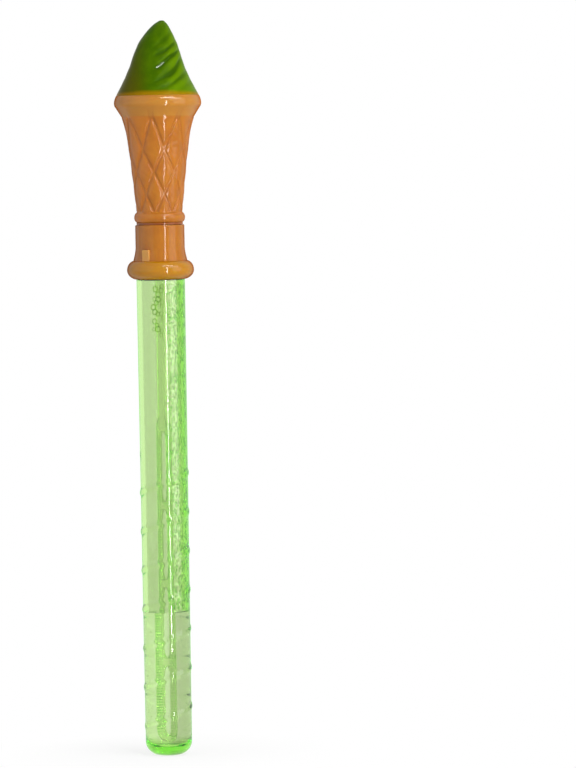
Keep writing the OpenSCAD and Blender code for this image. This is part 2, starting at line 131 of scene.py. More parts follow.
class Socket:
    """A socket of a tree's node, which takes part in sums."""

    def __init__(self, tree, socket):
        self.tree = tree
        self.socket = socket

    def sum(self, operation, first, second, clamp=False):
        settings = {"operation": operation, "use_clamp": clamp}
        return self.tree.node("ShaderNodeMath", settings, {0: first, 1: second})

    def __add__(self, other):
        return self.sum("ADD", self, other)

    def __radd__(self, other):
        return self.sum("ADD", other, self)

    def __sub__(self, other):
        return self.sum("SUBTRACT", self, other)

    def __rsub__(self, other):
        return self.sum("SUBTRACT", other, self)

    def __mul__(self, other):
        return self.sum("MULTIPLY", self, other)

    def __pow__(self, other):
        return self.sum("POWER", self, other)


class Tree:
    """A node tree, with one method that makes its nodes."""

    def __init__(self, tree):
        self.tree = tree

    def feed(self, socket, value):
        """Sets a socket to a value, or links it."""
        if isinstance(value, Socket):
            self.tree.links.new(value.socket, socket)
        elif isinstance(value, tuple) and len(value) == 3 and socket.type == "RGBA":
            socket.default_value = (*value, 1)
        else:
            socket.default_value = value

    def node(self, kind, settings=None, sockets=None, output=0):
        """Adds a node of a type with its settings and its sockets' values."""
        made = self.tree.nodes.new(kind)
        for name, value in (settings or {}).items():
            setattr(made, name, value)
        for name, value in (sockets or {}).items():
            self.feed(made.inputs[name], value)
        return Socket(self, made.outputs[output] if made.outputs else None)


class Finish(Tree):
    """A material with a Principled shader."""

    def __init__(self, name, values):
        self.material = bpy.data.materials.new(name)
        self.material.use_nodes = True
        super().__init__(self.material.node_tree)
        self.shader = self.tree.nodes["Principled BSDF"]
        self.output = self.tree.nodes["Material Output"]
        for socket, value in values.items():
            self.feed(self.shader.inputs[socket], value)
        self.place = self.node("ShaderNodeTexCoord", output="Object")
        parts = self.node("ShaderNodeSeparateXYZ", {}, {"Vector": self.place}).socket.node
        self.x, self.y, self.z = (Socket(self, parts.outputs[i]) for i in range(3))

    def look(self, **values):
        """Feeds the shader's sockets, named with _ for a space."""
        for name, value in values.items():
            self.feed(self.shader.inputs[name.replace("_", " ")], value)

    def blend(self, share, shader):
        """Mixes another shader into the surface by a share."""
        mixed = self.node("ShaderNodeMixShader", {}, {0: share, 2: shader})
        self.tree.links.new(self.shader.outputs[0], mixed.socket.node.inputs[1])
        self.tree.links.new(mixed.socket, self.output.inputs["Surface"])

    def from_axis(self):
        """Distance from the upright axis, in metres."""
        return (self.x ** 2 + self.y ** 2) ** 0.5

    def slant(self):
        """0 where the surface faces the eye and 1 where it turns away from it."""
        return self.node("ShaderNodeLayerWeight", {}, {"Blend": 0.5}, "Facing")

    def attribute(self, name):
        """A value that the mesh holds at each of its points."""
        return self.node("ShaderNodeAttribute", {"attribute_name": name}, output="Fac")

    def noise(self, scale, detail=2, stretch=(1, 1, 1)):
        """Soft noise from 0 to 1, with scale features to the metre."""
        at = self.node("ShaderNodeMapping", {}, {"Vector": self.place, "Scale": stretch})
        return self.node("ShaderNodeTexNoise", {}, {"Vector": at, "Scale": scale, "Detail": detail})

    def step(self, value, start, end):
        """Climbs smoothly from 0 to 1 while value goes from start to end."""
        return self.node("ShaderNodeMapRange", {"interpolation_type": "SMOOTHSTEP"},
                         {"Value": value, "From Min": start, "From Max": end})

    def wave(self, value, start, step):
        """A wave from 0 to 1 and back in each step of a value."""
        turn = (value - start) * (2 * math.pi / step)
        return self.node("ShaderNodeMath", {"operation": "COSINE"}, {0: turn}) * 0.5 + 0.5

    def mix(self, share, first, second):
        """Blends two colours."""
        return self.node("ShaderNodeMix", {"data_type": "RGBA"}, {0: share, 6: first, 7: second}, 2)

    def bump(self, height, distance, strength=1.0):
        """A normal for a surface raised by height times distance."""
        return self.node("ShaderNodeBump", {}, {
            "Height": height, "Distance": distance, "Strength": strength})


def tube_r(z):
    """Radius of the tube's outside at a height."""
    share = (z - base_round) / (tube_h - shoulder - base_round)
    return tube_r_base + (tube_r_top - tube_r_base) * share


def bore_r(z):
    """Radius of the tube's bore at a height."""
    return tube_r(z) - tube_wall


def helix(turns, z, low, pitch, start, length, fade):
    """For points of a wall: the upright distance to a helix that starts at height low in
    direction start, and its strength, which fades at both ends of its length in turns."""
    share = np.mod(turns / (2 * math.pi) - start / 360, 1)
    nearest = np.round((z - low) / pitch - share)
    along = share + nearest
    strength = np.clip(np.minimum(along, length - along) / fade, 0, 1)
    return z - low - pitch * along, strength


ridge_low = 13
ridge_high = 191
ridge_pitch = 24.45
ridge_turns = (ridge_high - ridge_low) / ridge_pitch
ridge_start = 101
ridge_w = 6
ridge_proud = 0.6
ridge_fade = 0.3
thread_low = 302.75
thread_pitch = 4
thread_turns = 1.9
thread_root = 2
thread_tip = 1
thread_proud = 1
thread_fade = 0.1


def ridge(turns, z):
    """How far the spiral ridge stands out of the wall."""
    off, strength = helix(turns, z, ridge_low, ridge_pitch, ridge_start, ridge_turns, ridge_fade)
    inside = np.abs(off) < ridge_w / 2
    return np.where(inside, ridge_proud * strength * np.cos(math.pi * off / ridge_w) ** 2, 0)


def thread(turns, z):
    """How far the screw thread stands out of the neck."""
    off, strength = helix(turns, z, thread_low, thread_pitch, 0, thread_turns, thread_fade)
    flank = np.clip((thread_root / 2 - np.abs(off)) / (thread_root / 2 - thread_tip / 2), 0, 1)
    return thread_proud * strength * flank


bowl_top = tube_floor + bowl_round
ridge_row = 0.5
plain_row = 3
neck_steps = 57
bore_steps = 24
wall_rows = np.concatenate([
    np.arange(base_round + ridge_row, ridge_high + ridge_w, ridge_row),
    np.arange(ridge_high + ridge_w, tube_h - shoulder, plain_row)])
neck_rows = np.linspace(tube_h, neck_top, neck_steps)
bore_rows = np.linspace(slope_low, bowl_top, bore_steps)
base_arc = arc(tube_r_base - base_round, base_round, base_round, base_round, 270, 360)
bowl_arc = arc(bore_r(bowl_top) - bowl_round, bowl_top, bowl_round, bowl_round, 360, 270)
tube_rings = (
    lathe(base_arc, tube_sides)
    + lathe([(tube_r(z), z) for z in wall_rows], tube_sides, ridge)
    + lathe([(tube_r_top, tube_h - shoulder), (tube_r_top - shoulder, tube_h)], tube_sides)
    + lathe([(neck_r, z) for z in neck_rows], tube_sides, thread)
    + lathe([(neck_bore_r, neck_top), (neck_bore_r, slope_top)], tube_sides)
    + lathe([(bore_r(z), z) for z in bore_rows], tube_sides)
    + lathe(bowl_arc[1:], tube_sides))
tube_mesh = skin("tube", tube_rings, low=(0, 0, 0), high=(0, 0, tube_floor))

bore_side = 12.4
skin_side = 13.2
level_soft = 1
piped_light_from = 10.5
piped_light_full = 12.8
film_and_shade_tint = (0.62, 0.64, 0.56)
speckle_tint = (0.9, 0.94, 0.84)
dipped_left_shade = (0.86, 0.86, 0.86)
dipped_right_shade = (0.64, 0.6, 0.64)
plain_skin = (0.97, 0.97, 0.96)
piped_light_green = (0.42, 0.84, 0.14)
glass_green = (0.58, 0.942, 0.1)
glass_density = 140

clear_green = Finish("clear_green", {"Transmission Weight": 1.0, "IOR": 1.5})
inside = 1 - clear_green.step(clear_green.from_axis(), bore_side * MM, skin_side * MM)
above_level = clear_green.step(
    clear_green.z, (liquid_top - level_soft) * MM, (liquid_top + level_soft) * MM)
right_half = clear_green.step(clear_green.x, -1 * MM, 3 * MM)
speckle = clear_green.step(clear_green.noise(750, 3, (1, 1, 0.7)), 0.42, 0.62)
# Painted shade: the bore is painted grey, partly as soap film and partly for the dimmer room seen through
# the tube. Below the level its right half is painted darker still.
dry_bore = clear_green.mix(right_half * speckle, film_and_shade_tint, speckle_tint)
dipped_bore = clear_green.mix(right_half, dipped_left_shade, dipped_right_shade)
bore_tint = clear_green.mix(above_level, dipped_bore, dry_bore)
# Painted light: above the level, the right side of the outer skin is painted bright green for light that
# runs along the wall to that side.
wavy_edge = clear_green.x + (clear_green.noise(140, 3) - 0.5) * 3 * MM
piped_light_side = clear_green.step(wavy_edge, piped_light_from * MM, piped_light_full * MM) * above_level
skin_tint = clear_green.mix(piped_light_side, plain_skin, piped_light_green)
flow = clear_green.noise(90, 3, (1, 1, 0.5)) * (right_half * 0.4 + 0.05)
clear_green.look(
    Base_Color=clear_green.mix(inside, skin_tint, bore_tint),
    Roughness=clear_green.noise(300) * 0.03,
    Normal=clear_green.bump(flow, 0.2 * MM, 0.5))
see_through = clear_green.node("ShaderNodeBsdfTransparent", {}, {"Color": (0.5, 0.86, 0.32)})
clear_green.blend(clear_green.step(clear_green.slant(), 0.72, 0.95) * (1 - inside), see_through)
green_glass = clear_green.node("ShaderNodeVolumeAbsorption", {}, {
    "Color": glass_green, "Density": glass_density})
clear_green.tree.links.new(green_glass.socket, clear_green.output.inputs["Volume"])
piece("tube_clear", tube_mesh, "tube", [clear_green], "tube")

# Bubble solution
# Thin soapy water. It fills the bowl and climbs a little up the wall, most on the wet
# side. Its own side lies just inside the wall, so that light bends as between plastic
# and water.
film_sink = 0.1
meniscus_h = 1.0
meniscus_w = 1.6
meniscus_power = 2.5
least_climb = 0.1
level_r = 9
solution_sides = 96
solution_steps = 16

solution_profile = [(r, z - film_sink) for r, z in arc(
    bore_r(bowl_top) - bowl_round, bowl_top, bowl_round + film_sink, bowl_round, 270, 360)]
solution_r = bore_r(liquid_top) + film_sink
side_rows = np.linspace(bowl_top, liquid_top, solution_steps)[1:]
solution_profile += [(bore_r(z) + film_sink, z) for z in side_rows]
solution_profile += [(r, liquid_top) for r in np.linspace(solution_r, level_r, solution_steps)]
solution_profile += [(r, liquid_top) for r in (level_r * 2 / 3, level_r / 3)]
solution_rings = lathe(solution_profile, solution_sides)
climb = np.clip(np.cos(angles(solution_sides)), least_climb, 1)
for ring in solution_rings:
    if ring[0, 2] == liquid_top:
        from_wall = solution_r - np.hypot(ring[:, 0], ring[:, 1])
        ring[:, 2] += meniscus_h * climb * np.clip(1 - from_wall / meniscus_w, 0, 1) ** meniscus_power
solution_mesh = skin("bubble_solution", solution_rings, low=(0, 0, tube_floor - film_sink),
                     high=(0, 0, liquid_top))
solution = Finish("solution", {
    "Transmission Weight": 1.0, "IOR": 1.33, "Base Color": (0.97, 0.98, 0.95), "Roughness": 0.0})
solution.look(Normal=solution.bump(solution.noise(120, 2), 0.2 * MM, 0.3))
piece("solution_fill", solution_mesh, "tube", [solution], "bubble_solution")

# Drops, foam and bubbles
# Soap solution clings to the bore above the level, as drops on the side that the tube
# last lay on and as rings of foam under the collar. The liquid holds small bubbles.
strip_inputs = [
    ("Width", "Float"), ("Height", "Float"), ("Spacing", "Float"), ("Density", "Float"), ("Seed", "Int"),
    ("Least Size", "Float"), ("Most Size", "Float"), ("Flatness", "Vector"), ("Ring", "Bool"),
    ("Material", "Material")]


def scatter_tree():
    """A tree that scatters drops or rings over a flat strip."""
    group = bpy.data.node_groups.new("scatter", "GeometryNodeTree")
    for name, kind in strip_inputs:
        group.interface.new_socket(name, in_out="INPUT", socket_type="NodeSocket" + kind)
    group.interface.new_socket("Geometry", in_out="OUTPUT", socket_type="NodeSocketGeometry")
    tree = Tree(group)
    given = tree.node("NodeGroupInput").socket.node
    width, height, spacing, density, seed, least, most, flatness, ring, material = (
        Socket(tree, given.outputs[name]) for name, _ in strip_inputs)
    strip = tree.node("GeometryNodeMeshGrid", {}, {
        "Size X": width, "Size Y": height, "Vertices X": 2, "Vertices Y": 2})
    points = tree.node("GeometryNodeDistributePointsOnFaces", {"distribute_method": "POISSON"}, {
        "Mesh": strip, "Distance Min": spacing, "Density Max": density, "Seed": seed})
    drop = tree.node("GeometryNodeMeshUVSphere", {}, {"Segments": 10, "Rings": 6, "Radius": 1.0})
    loop = tree.node("GeometryNodeCurvePrimitiveCircle", {}, {"Resolution": 14, "Radius": 0.85})
    section = tree.node("GeometryNodeCurvePrimitiveCircle", {}, {"Resolution": 5, "Radius": 0.24})
    hoop = tree.node("GeometryNodeCurveToMesh", {}, {"Curve": loop, "Profile Curve": section})
    shape = tree.node("GeometryNodeSwitch", {"input_type": "GEOMETRY"}, {
        "Switch": ring, "False": drop, "True": hoop})
    flat = tree.node("GeometryNodeTransform", {}, {"Geometry": shape, "Scale": flatness})
    size = tree.node("FunctionNodeRandomValue", {}, {2: least, 3: most, "Seed": seed}, 1)
    placed = tree.node("GeometryNodeInstanceOnPoints", {}, {
        "Points": points, "Instance": flat, "Scale": size})
    real = tree.node("GeometryNodeRealizeInstances", {}, {"Geometry": placed})
    dressed = tree.node("GeometryNodeSetMaterial", {}, {"Geometry": real, "Material": material})
    tree.node("NodeGroupOutput", {}, {"Geometry": dressed})
    return group


def scattered(name, values, place):
    """Runs the tree with its inputs' values, in metres, and moves the points of the flat
    strip by place(across, up, inward), which takes and gives millimetres."""
    carrier = bpy.data.objects.new(name, bpy.data.meshes.new(name))
    bpy.context.collection.objects.link(carrier)
    scatter = carrier.modifiers.new("scatter", "NODES")
    scatter.node_group = scatter_group
    for item in scatter_group.interface.items_tree:
        if item.in_out == "INPUT":
            scatter[item.identifier] = values[item.name]
    mesh = bpy.data.meshes.new_from_object(
        carrier.evaluated_get(bpy.context.evaluated_depsgraph_get()))
    bpy.data.objects.remove(carrier)
    for vertex in mesh.vertices:
        across, up, inward = (c / MM for c in vertex.co)
        vertex.co = [c * MM for c in place(across, up, inward)]
    return faced_out(mesh)


def on_bore(turn, height, sink):
    """Wraps a strip round the bore, with its middle in a direction, in degrees, and at a
    height. It is sunk in the wall by sink."""
    def place(across, up, inward):
        z = height + up
        r = bore_r(z) + sink - inward
        t = math.radians(turn) + across / bore_r(z)
        return r * math.cos(t), r * math.sin(t), z
    return place


wet_low = 91.5
wet_high = 296
drops_w = 34
foam_w = 6
foam_h = 34
bubbles_w = 50
bubbles_low = 15
bubbles_high = 89

scatter_group = scatter_tree()
clinging_drop = Finish("clinging_drop", {"Transmission Weight": 1.0, "IOR": 1.33})
drop_shade = clinging_drop.step(clinging_drop.noise(700, 3), 0.4, 0.6)
clinging_drop.look(Base_Color=clinging_drop.mix(drop_shade, (0.5, 0.84, 0.28), (1, 1, 0.94)),
                   Roughness=clinging_drop.noise(500) * 0.08)
drops_mesh = scattered("wall_drops", {
    "Width": drops_w * MM, "Height": (wet_high - wet_low) * MM, "Spacing": 0.9 * MM, "Density": 2.5e5,
    "Seed": 11, "Least Size": 0.35 * MM, "Most Size": 0.95 * MM, "Flatness": (1, 1.5, 0.3), "Ring": False,
    "Material": clinging_drop.material}, on_bore(turn=0, height=(wet_low + wet_high) / 2, sink=0.05))
foam_film = Finish("foam_film", {"Transmission Weight": 1.0, "IOR": 1.1})
film_shade = foam_film.noise(300)
foam_film.look(Base_Color=foam_film.mix(film_shade, (0.42, 0.6, 0.06), (0.62, 0.78, 0.2)),
               Roughness=foam_film.noise(500) * 0.15)
foam_mesh = scattered("wall_foam", {
    "Width": foam_w * MM, "Height": foam_h * MM, "Spacing": 2.0 * MM, "Density": 3e5, "Seed": 5,
    "Least Size": 0.9 * MM, "Most Size": 1.8 * MM, "Flatness": (1, 1.2, 0.8), "Ring": True,
    "Material": foam_film.material}, on_bore(turn=-100, height=wet_high - foam_h / 2, sink=-0.25))
air = Finish("air_bubble", {"Transmission Weight": 1.0, "IOR": 0.78})
air.look(Base_Color=air.mix(air.noise(200), (0.97, 0.99, 0.95), (0.99, 1, 0.98)),
         Roughness=air.noise(400) * 0.04)
bubbles_mesh = scattered("liquid_bubbles", {
    "Width": bubbles_w * MM, "Height": (bubbles_high - bubbles_low) * MM, "Spacing": 4 * MM,
    "Density": 1.5e4, "Seed": 7, "Least Size": 0.25 * MM, "Most Size": 0.6 * MM, "Flatness": (1, 1.2, 0.8),
    "Ring": False,
    "Material": air.material}, on_bore(turn=-90, height=(bubbles_low + bubbles_high) / 2, sink=-0.9))
piece("wall_drops", drops_mesh, "tube", [])
piece("wall_foam", foam_mesh, "tube", [])
piece("liquid_bubbles", bubbles_mesh, "tube", [])

# Collar
# Tan polypropylene, moulded with a bell at its foot and a lug that the fingers turn it
# by. It screws on the neck, and its socket takes the stopper.
collar_top = 332.6
collar_r = 15.35
collar_corner = 0.8
foot_r = 16.9
bell_r = 20.9
bell_h = 12
bell_mid = 304.3
bell_under = 7.6
bell_over = 4.9
foot_h = 8
foot_power = 1.4
skirt_r = 15.45
skirt_clear = 0.35
lip_w = 0.5
collar_bore_r = 14
ledge_low = 315.6
ledge_top = 317.1
socket_r = 12.6
lug_w = 5.2
lug_h = 7
lug_foot = 2.2
lug_corner = 0.8
lug_proud = 1.7
lug_angle = 237
lug_edge = 0.3
lug_back = 0.6
golden_top = 310.6
golden_full = 309.4
bell_steps = 24
foot_steps = 14
collar_sides = 160

lip_turn = math.degrees(math.acos((skirt_r + lip_w - (bell_r - bell_under)) / bell_under))
fold_in = math.degrees(math.acos((foot_r - (bell_r - bell_over)) / bell_over))
foot_low = bell_mid + bell_h / 2 * math.sin(math.radians(fold_in))


def foot_width(share):
    """Radius of the collar's flared foot, at a share of its height."""
    return collar_r + (foot_r - collar_r) * (1 - share) ** foot_power


collar_profile = (
    [(skirt_r, bell_mid - bell_h / 2 * math.sin(math.radians(lip_turn)))]
    + arc(bell_r - bell_under, bell_mid, bell_under, bell_h / 2, -lip_turn, 0, bell_steps)
    + arc(bell_r - bell_over, bell_mid, bell_over, bell_h / 2,
          fold_in / bell_steps, fold_in, bell_steps - 1)
    + [(foot_width(share), foot_low + foot_h * share) for share in np.linspace(0.08, 1, foot_steps)]
    + [(collar_r, z) for z in np.linspace(foot_low + foot_h + 1, collar_top - 1.2, 6)]
    + arc(collar_r - collar_corner, collar_top - collar_corner, collar_corner, collar_corner, 0, 90, 8)
    + [(socket_r, collar_top), (socket_r, ledge_top), (neck_bore_r, ledge_top), (neck_bore_r, ledge_low),
       (collar_bore_r, ledge_low), (collar_bore_r, tube_h + skirt_clear), (skirt_r, tube_h + skirt_clear)])
collar_mesh = skin("collar", lathe(collar_profile, collar_sides), loop=True)


def moulding(name, outlines, thickness, edge, steps=3):
    """A flat moulding in the XY plane with rounded edges. outlines lists its outside and
    then its holes, each as (x, y) points in millimetres."""
    curve = bpy.data.curves.new(name, "CURVE")
    curve.dimensions = "2D"
    curve.fill_mode = "BOTH"
    curve.extrude = (thickness / 2 - edge) * MM
    curve.bevel_depth = edge * MM
    curve.bevel_resolution = steps
    curve.offset = -edge * MM
    for outline in outlines:
        spline = curve.splines.new("POLY")
        spline.points.add(len(outline) - 1)
        for point, (x, y) in zip(spline.points, outline):
            point.co = (x * MM, y * MM, 0, 1)
        spline.use_cyclic_u = True
    form = bpy.data.objects.new(name, curve)
    bpy.context.collection.objects.link(form)
    mesh = bpy.data.meshes.new_from_object(form.evaluated_get(bpy.context.evaluated_depsgraph_get()))
    bpy.data.objects.remove(form)
    return faced_out(mesh, merge=0.005 * MM)


def added(mesh, *others):
    """Joins other meshes into a mesh."""
    work = bmesh.new()
    for part in (mesh, *others):
        work.from_mesh(part)
    work.to_mesh(mesh)
    work.free()
    return mesh


lug_low = foot_low - lug_foot
corner_z = foot_low + lug_h - lug_corner
lug_outline = [(-lug_w / 2, lug_low), (lug_w / 2, lug_low)]
lug_outline += arc(lug_w / 2 - lug_corner, corner_z, lug_corner, lug_corner, 0, 90, 4)
lug_outline += arc(lug_corner - lug_w / 2, corner_z, lug_corner, lug_corner, 90, 180, 4)
lug_mesh = moulding("lug", [lug_outline], lug_proud + lug_back, lug_edge)
for vertex in lug_mesh.vertices:
    across, up, out = vertex.co
    reach = (collar_r - lug_back + (lug_proud + lug_back) / 2) * MM + out
    vertex.co = (reach, across, up)
lug_mesh.transform(Quaternion((0, 0, 1), math.radians(lug_angle)).to_matrix().to_4x4())


def paint(red, green, blue):
    """A display colour, 0 to 255, as the linear light that the shaders take. The numbers
    are those of the sRGB curve."""
    def linear(c):
        c /= 255
        return c / 12.92 if c <= 0.04045 else ((c + 0.055) / 1.055) ** 2.4
    return linear(red), linear(green), linear(blue)


def tan_plastic(name, light, dark, edge=paint(150, 86, 22)):
    """Glossy tan plastic, a little cloudy, with a fine orange-peel surface. Seen at a slant it
    turns to the edge colour, a painted shade for its darker rim."""
    finish = Finish(name, {"IOR": 1.5, "Specular IOR Level": 0.3, "Subsurface Weight": 0.1,
                           "Subsurface Scale": 1.5 * MM})
    cloud = finish.noise(90, 3)
    speck = finish.noise(1500, 2)
    share = finish.step(cloud, 0.3, 0.7) * 0.8 + speck * 0.2
    finish.colour = finish.mix(share, light, dark)
    finish.look(Base_Color=finish.colour, Roughness=0.04 + cloud * 0.05,
                Normal=finish.bump(finish.noise(350, 2), 0.05 * MM, 0.5))
    # Painted shade: where the surface turns away from the eye it is blended into the flat edge colour.
    painted_rim_shade = finish.node("ShaderNodeBsdfDiffuse", {}, {"Color": edge})
    finish.blend(finish.step(finish.slant(), 0.5, 0.85), painted_rim_shade)
    return finish


collar_tan = tan_plastic("collar_tan", light=paint(163, 98, 12), dark=paint(152, 89, 8))
golden = collar_tan.step(collar_tan.z, golden_top * MM, golden_full * MM)
collar_tan.look(Base_Color=collar_tan.mix(golden, collar_tan.colour, paint(163, 109, 5)))
lug_tan = tan_plastic("lug_tan", light=paint(192, 140, 68), dark=paint(182, 128, 54))
bell_faces = len(collar_mesh.polygons)
piece("collar_bell", added(collar_mesh, lug_mesh), "collar", [collar_tan, lug_tan], "collar")
for face in collar_mesh.polygons[bell_faces:]:
    face.material_index = 1

# Washer, stopper and seal
# A foam ring seals the neck. The stopper is glued in the cone, grips the paddle and
# closes the collar with a rubber ring. They are the CAD solids with their own finishes.
foam = Finish("washer_foam", {"Roughness": 0.9})
cells = foam.node("ShaderNodeTexVoronoi", {}, {"Vector": foam.place, "Scale": 1800})
foam.look(Base_Color=foam.mix(cells, (0.86, 0.86, 0.82), (0.7, 0.7, 0.66)),
          Normal=foam.bump(cells, 0.15 * MM))
rubber = Finish("seal_rubber", {"Roughness": 0.55})
dust = rubber.noise(900, 3)
rubber.look(Base_Color=rubber.mix(dust, (0.03, 0.032, 0.03), (0.055, 0.058, 0.055)),
            Normal=rubber.bump(dust, 0.05 * MM))
stopper_tan = tan_plastic("stopper_tan", light=paint(140, 74, 20), dark=paint(124, 62, 14))
stopper_tan.look(Roughness=0.5)
for node, finish in (("neck_washer", foam), ("stopper", stopper_tan), ("stopper_seal", rubber)):
    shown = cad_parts[node]
    shown.data.materials.clear()
    shown.data.materials.append(finish.material)

# Waffle cone
# A hollow shell of tan plastic with a bead round its waist and a rounded rim. Crossed
# lines are pressed into it, and the pads between them are slightly pillowed.
cone_low = 334
bead_top = 340.4
bead_r = 15.85
bead_curve = 2.2
bead_half = 3.2
waist_r = 14.2
waffle_top_r = 22.6
flare_share = 0.28
flare_power = 6
crease_z = 400
rim_mid = 408.4
rim_r = 27.235
rim_round = 4.2
rim_crown_h = 4.8
rim_top_r = 25.85
rim_top = 413.2
mouth_r = 23.85
cone_wall = 1.6
diamonds = 8
waffle_turn = -11
row_shares = [-0.03, 0.19, 0.42, 0.65, 1.012]
channel_w = 1.7
channel_deep = 0.36
bevel_w = 0.7
pillow = 0.5
pillow_sunk = 0.3
pillow_reach = 4.2
sway_deep = 0.05
pattern_fade = 1.0
pale_from = 399.6
pale_full = 401
cone_sides = 400
cone_row = 0.36


def waffle_r(z):
    """Radius of the waffle at a height."""
    u = min(1, max(0, (z - bead_top) / (crease_z - bead_top)))
    return waist_r + (waffle_top_r - waist_r) * ((1 - flare_share) * u + flare_share * u ** flare_power)


def line_distance(turns, z):
    """Distances of points of the waffle from the nearest pressed line and from the nearest
    one that crosses it, in millimetres."""
    heights = [bead_top + (crease_z - bead_top) * share for share in row_shares]
    row = np.interp(z, heights, range(len(heights)))
    low = min(int(row), len(heights) - 2)
    row_h = heights[low + 1] - heights[low]
    column = (np.degrees(turns) - waffle_turn) / 360 * 2 * diamonds
    column_w = 2 * math.pi * waffle_r(z) / (2 * diamonds)
    steepness = math.hypot(1 / column_w, 1 / row_h)
    rising = np.abs(column + row - 2 * np.round((column + row) / 2))
    falling = np.abs(column - row - 2 * np.round((column - row) / 2))
    return np.minimum(rising, falling) / steepness, np.maximum(rising, falling) / steepness


def pressed(turns, z):
    """The waffle's lines and pads, as an addition to its radius. The sway is the slight
    unevenness of a moulding."""
    near, far = line_distance(turns, z)
    rise = np.clip((near - (channel_w - bevel_w) / 2) / bevel_w, 0, 1)
    channel = channel_deep * (1 - rise * rise * (3 - 2 * rise))
    pad = pillow - pillow_sunk
    for distance in (near, far):
        pad_edge = 1 - np.clip(distance / pillow_reach, 0, 1)
        pad = (pad + pillow_sunk) * (1 - pad_edge ** 2) - pillow_sunk
    sway = sway_deep * np.sin(13 * turns + 1.5 * np.sin(z * 0.5)) * np.sin(z * 0.9 + 5 * turns)
    end = min(1, (z - bead_top) / pattern_fade, (crease_z - z) / pattern_fade)
    return (pad + sway - channel) * max(0, end)


waffle_rows = np.arange(bead_top + cone_row, crease_z, cone_row)
inner_rows = np.linspace(crease_z, bead_top + cone_wall, 12)
crown = [(rim_r - (rim_r - rim_top_r) * share ** 2, rim_mid + rim_crown_h * share)
         for share in np.linspace(0.1, 1, 10)]
cone_rings = (
    lathe([(waist_r - cone_wall, cone_low)], cone_sides)
    + lathe(arc(bead_r - bead_curve, cone_low + bead_half, bead_curve, bead_half, -90, 70, 24), cone_sides)
    + lathe([(waffle_r(z), z) for z in waffle_rows], cone_sides, pressed)
    + lathe(arc(rim_r - rim_round, rim_mid, rim_round, rim_round, -40, 0, 16), cone_sides)
    + lathe(crown, cone_sides)
    + lathe([(mouth_r, rim_top), (mouth_r, rim_mid - rim_round)], cone_sides)
    + lathe([(waffle_r(z) - cone_wall, z) for z in inner_rows], cone_sides)
    + lathe([(waist_r - cone_wall, bead_top)], cone_sides))
cone_mesh = skin("waffle_cone", cone_rings, loop=True)
# Painted shade: each point near a pressed line gets a share by which the line is painted darker.
line_values = cone_mesh.attributes.new("line", "FLOAT", "POINT")
for i, vertex in enumerate(cone_mesh.vertices):
    x, y, z = (c / MM for c in vertex.co)
    if bead_top < z < crease_z:
        nearest, _ = line_distance(np.array([math.atan2(y, x)]), z)
        line_values.data[i].value = max(0, 1 - abs(nearest[0] - channel_w / 2) / bevel_w)

left_light_tan = paint(184, 108, 20)
rim_tan = paint(166, 112, 34)
groove_shade_tan = paint(140, 70, 14)

cone_tan = tan_plastic(
    "cone_tan", light=paint(166, 100, 14), dark=paint(154, 88, 9), edge=paint(166, 98, 30))
# Painted light: the left side of the waffle is painted a brighter, warmer tan.
painted_left_light = cone_tan.step(cone_tan.x, -2 * MM, -14 * MM)
cone_colour = cone_tan.mix(painted_left_light * 0.7, cone_tan.colour, left_light_tan)
pale_rim = cone_tan.step(cone_tan.z, pale_from * MM, pale_full * MM)
cone_colour = cone_tan.mix(pale_rim * 0.8, cone_colour, rim_tan)
# Painted shade: the pressed lines are blended towards a darker tan.
cone_tan.look(Base_Color=cone_tan.mix(cone_tan.attribute("line") * 0.3, cone_colour, groove_shade_tan))
piece("waffle_shell", cone_mesh, "handle", [cone_tan], "waffle_cone")

# Swirl
# A hollow twist of soft ice in green plastic with a satin coat of paint. Its folds are
# layers that rise towards one side. They are deepest at the front right and the back left,
# and fade out in between.
swirl_low = 413.25
swirl_h = 46.8
swirl_r = 25.85
spigot_clear = 0.1
spigot_deep = 5
profile_shares = [
    (0, 1), (0.1, 0.905), (0.2, 0.812), (0.3, 0.73), (0.4, 0.655), (0.5, 0.597), (0.6, 0.535),
    (0.7, 0.466), (0.8, 0.362), (0.88, 0.265), (0.94, 0.18), (0.98, 0.1), (1, 0.03)]
profile_soft = 0.02
lean = 5.6
lean_turn = math.radians(52)
lean_power = 4.5
fold_step = 7.2
fold_turn = math.radians(28)
fold_deep = 0.9
fold_slope_low = 0.4
fold_slope = 0.62
steep_share = 0.35
fold_places = [
    (0, 0.12), (40, 0.4), (80, 0.6), (115, 1), (145, 0.55), (180, 0.12), (205, 0), (248, 0),
    (272, 0.7), (295, 1), (325, 0.9), (345, 0.4), (360, 0.12)]
fold_levels = [(0, 0), (0.12, 0.45), (0.25, 1), (0.55, 1), (0.75, 0.6), (0.9, 0.3), (1, 0)]
fold_power = 1.3
slow_wobble = 0.9
quick_wobble = 0.3
swirl_sides = 288
swirl_shares = np.linspace(0, 0.995, 200)
streak_x = 1.9
streak_z = 431.7
streak_rise = math.radians(40)
streak_w = 1.1
streak_core = 0.7
streak_stretch = 0.3


def between(table, place):
    """The value at a place, between the (place, value) pairs of a table."""
    places, values = zip(*table)
    return np.interp(place, places, values)


def profile(t):
    """The swirl's radius at a share of its height, as a share of the radius at its foot.
    The mean over a short spread rounds the corners at the table's places."""
    spread = np.linspace(-profile_soft, profile_soft, 5)
    return float(np.mean(between(profile_shares, np.clip(t + spread, 0, 1))))


def folded(turns, t):
    """How far the folds draw the surface in, at a share of the swirl's height. The wobbles
    make their distances uneven."""
    r = swirl_r * profile(t)
    slope = fold_slope_low + (fold_slope - fold_slope_low) * min(1, t / steep_share)
    height = swirl_h * t - slope * r * np.cos(turns - fold_turn)
    wobble = slow_wobble * np.sin(2 * turns + height * 0.31)
    wobble += quick_wobble * np.sin(7 * turns - height * 0.3)
    phase = np.mod((height + wobble) / fold_step, 1)
    dip = (0.5 + 0.5 * np.cos(2 * math.pi * phase)) ** fold_power
    return fold_deep * dip * between(fold_places, np.degrees(turns) % 360) * between(fold_levels, t)


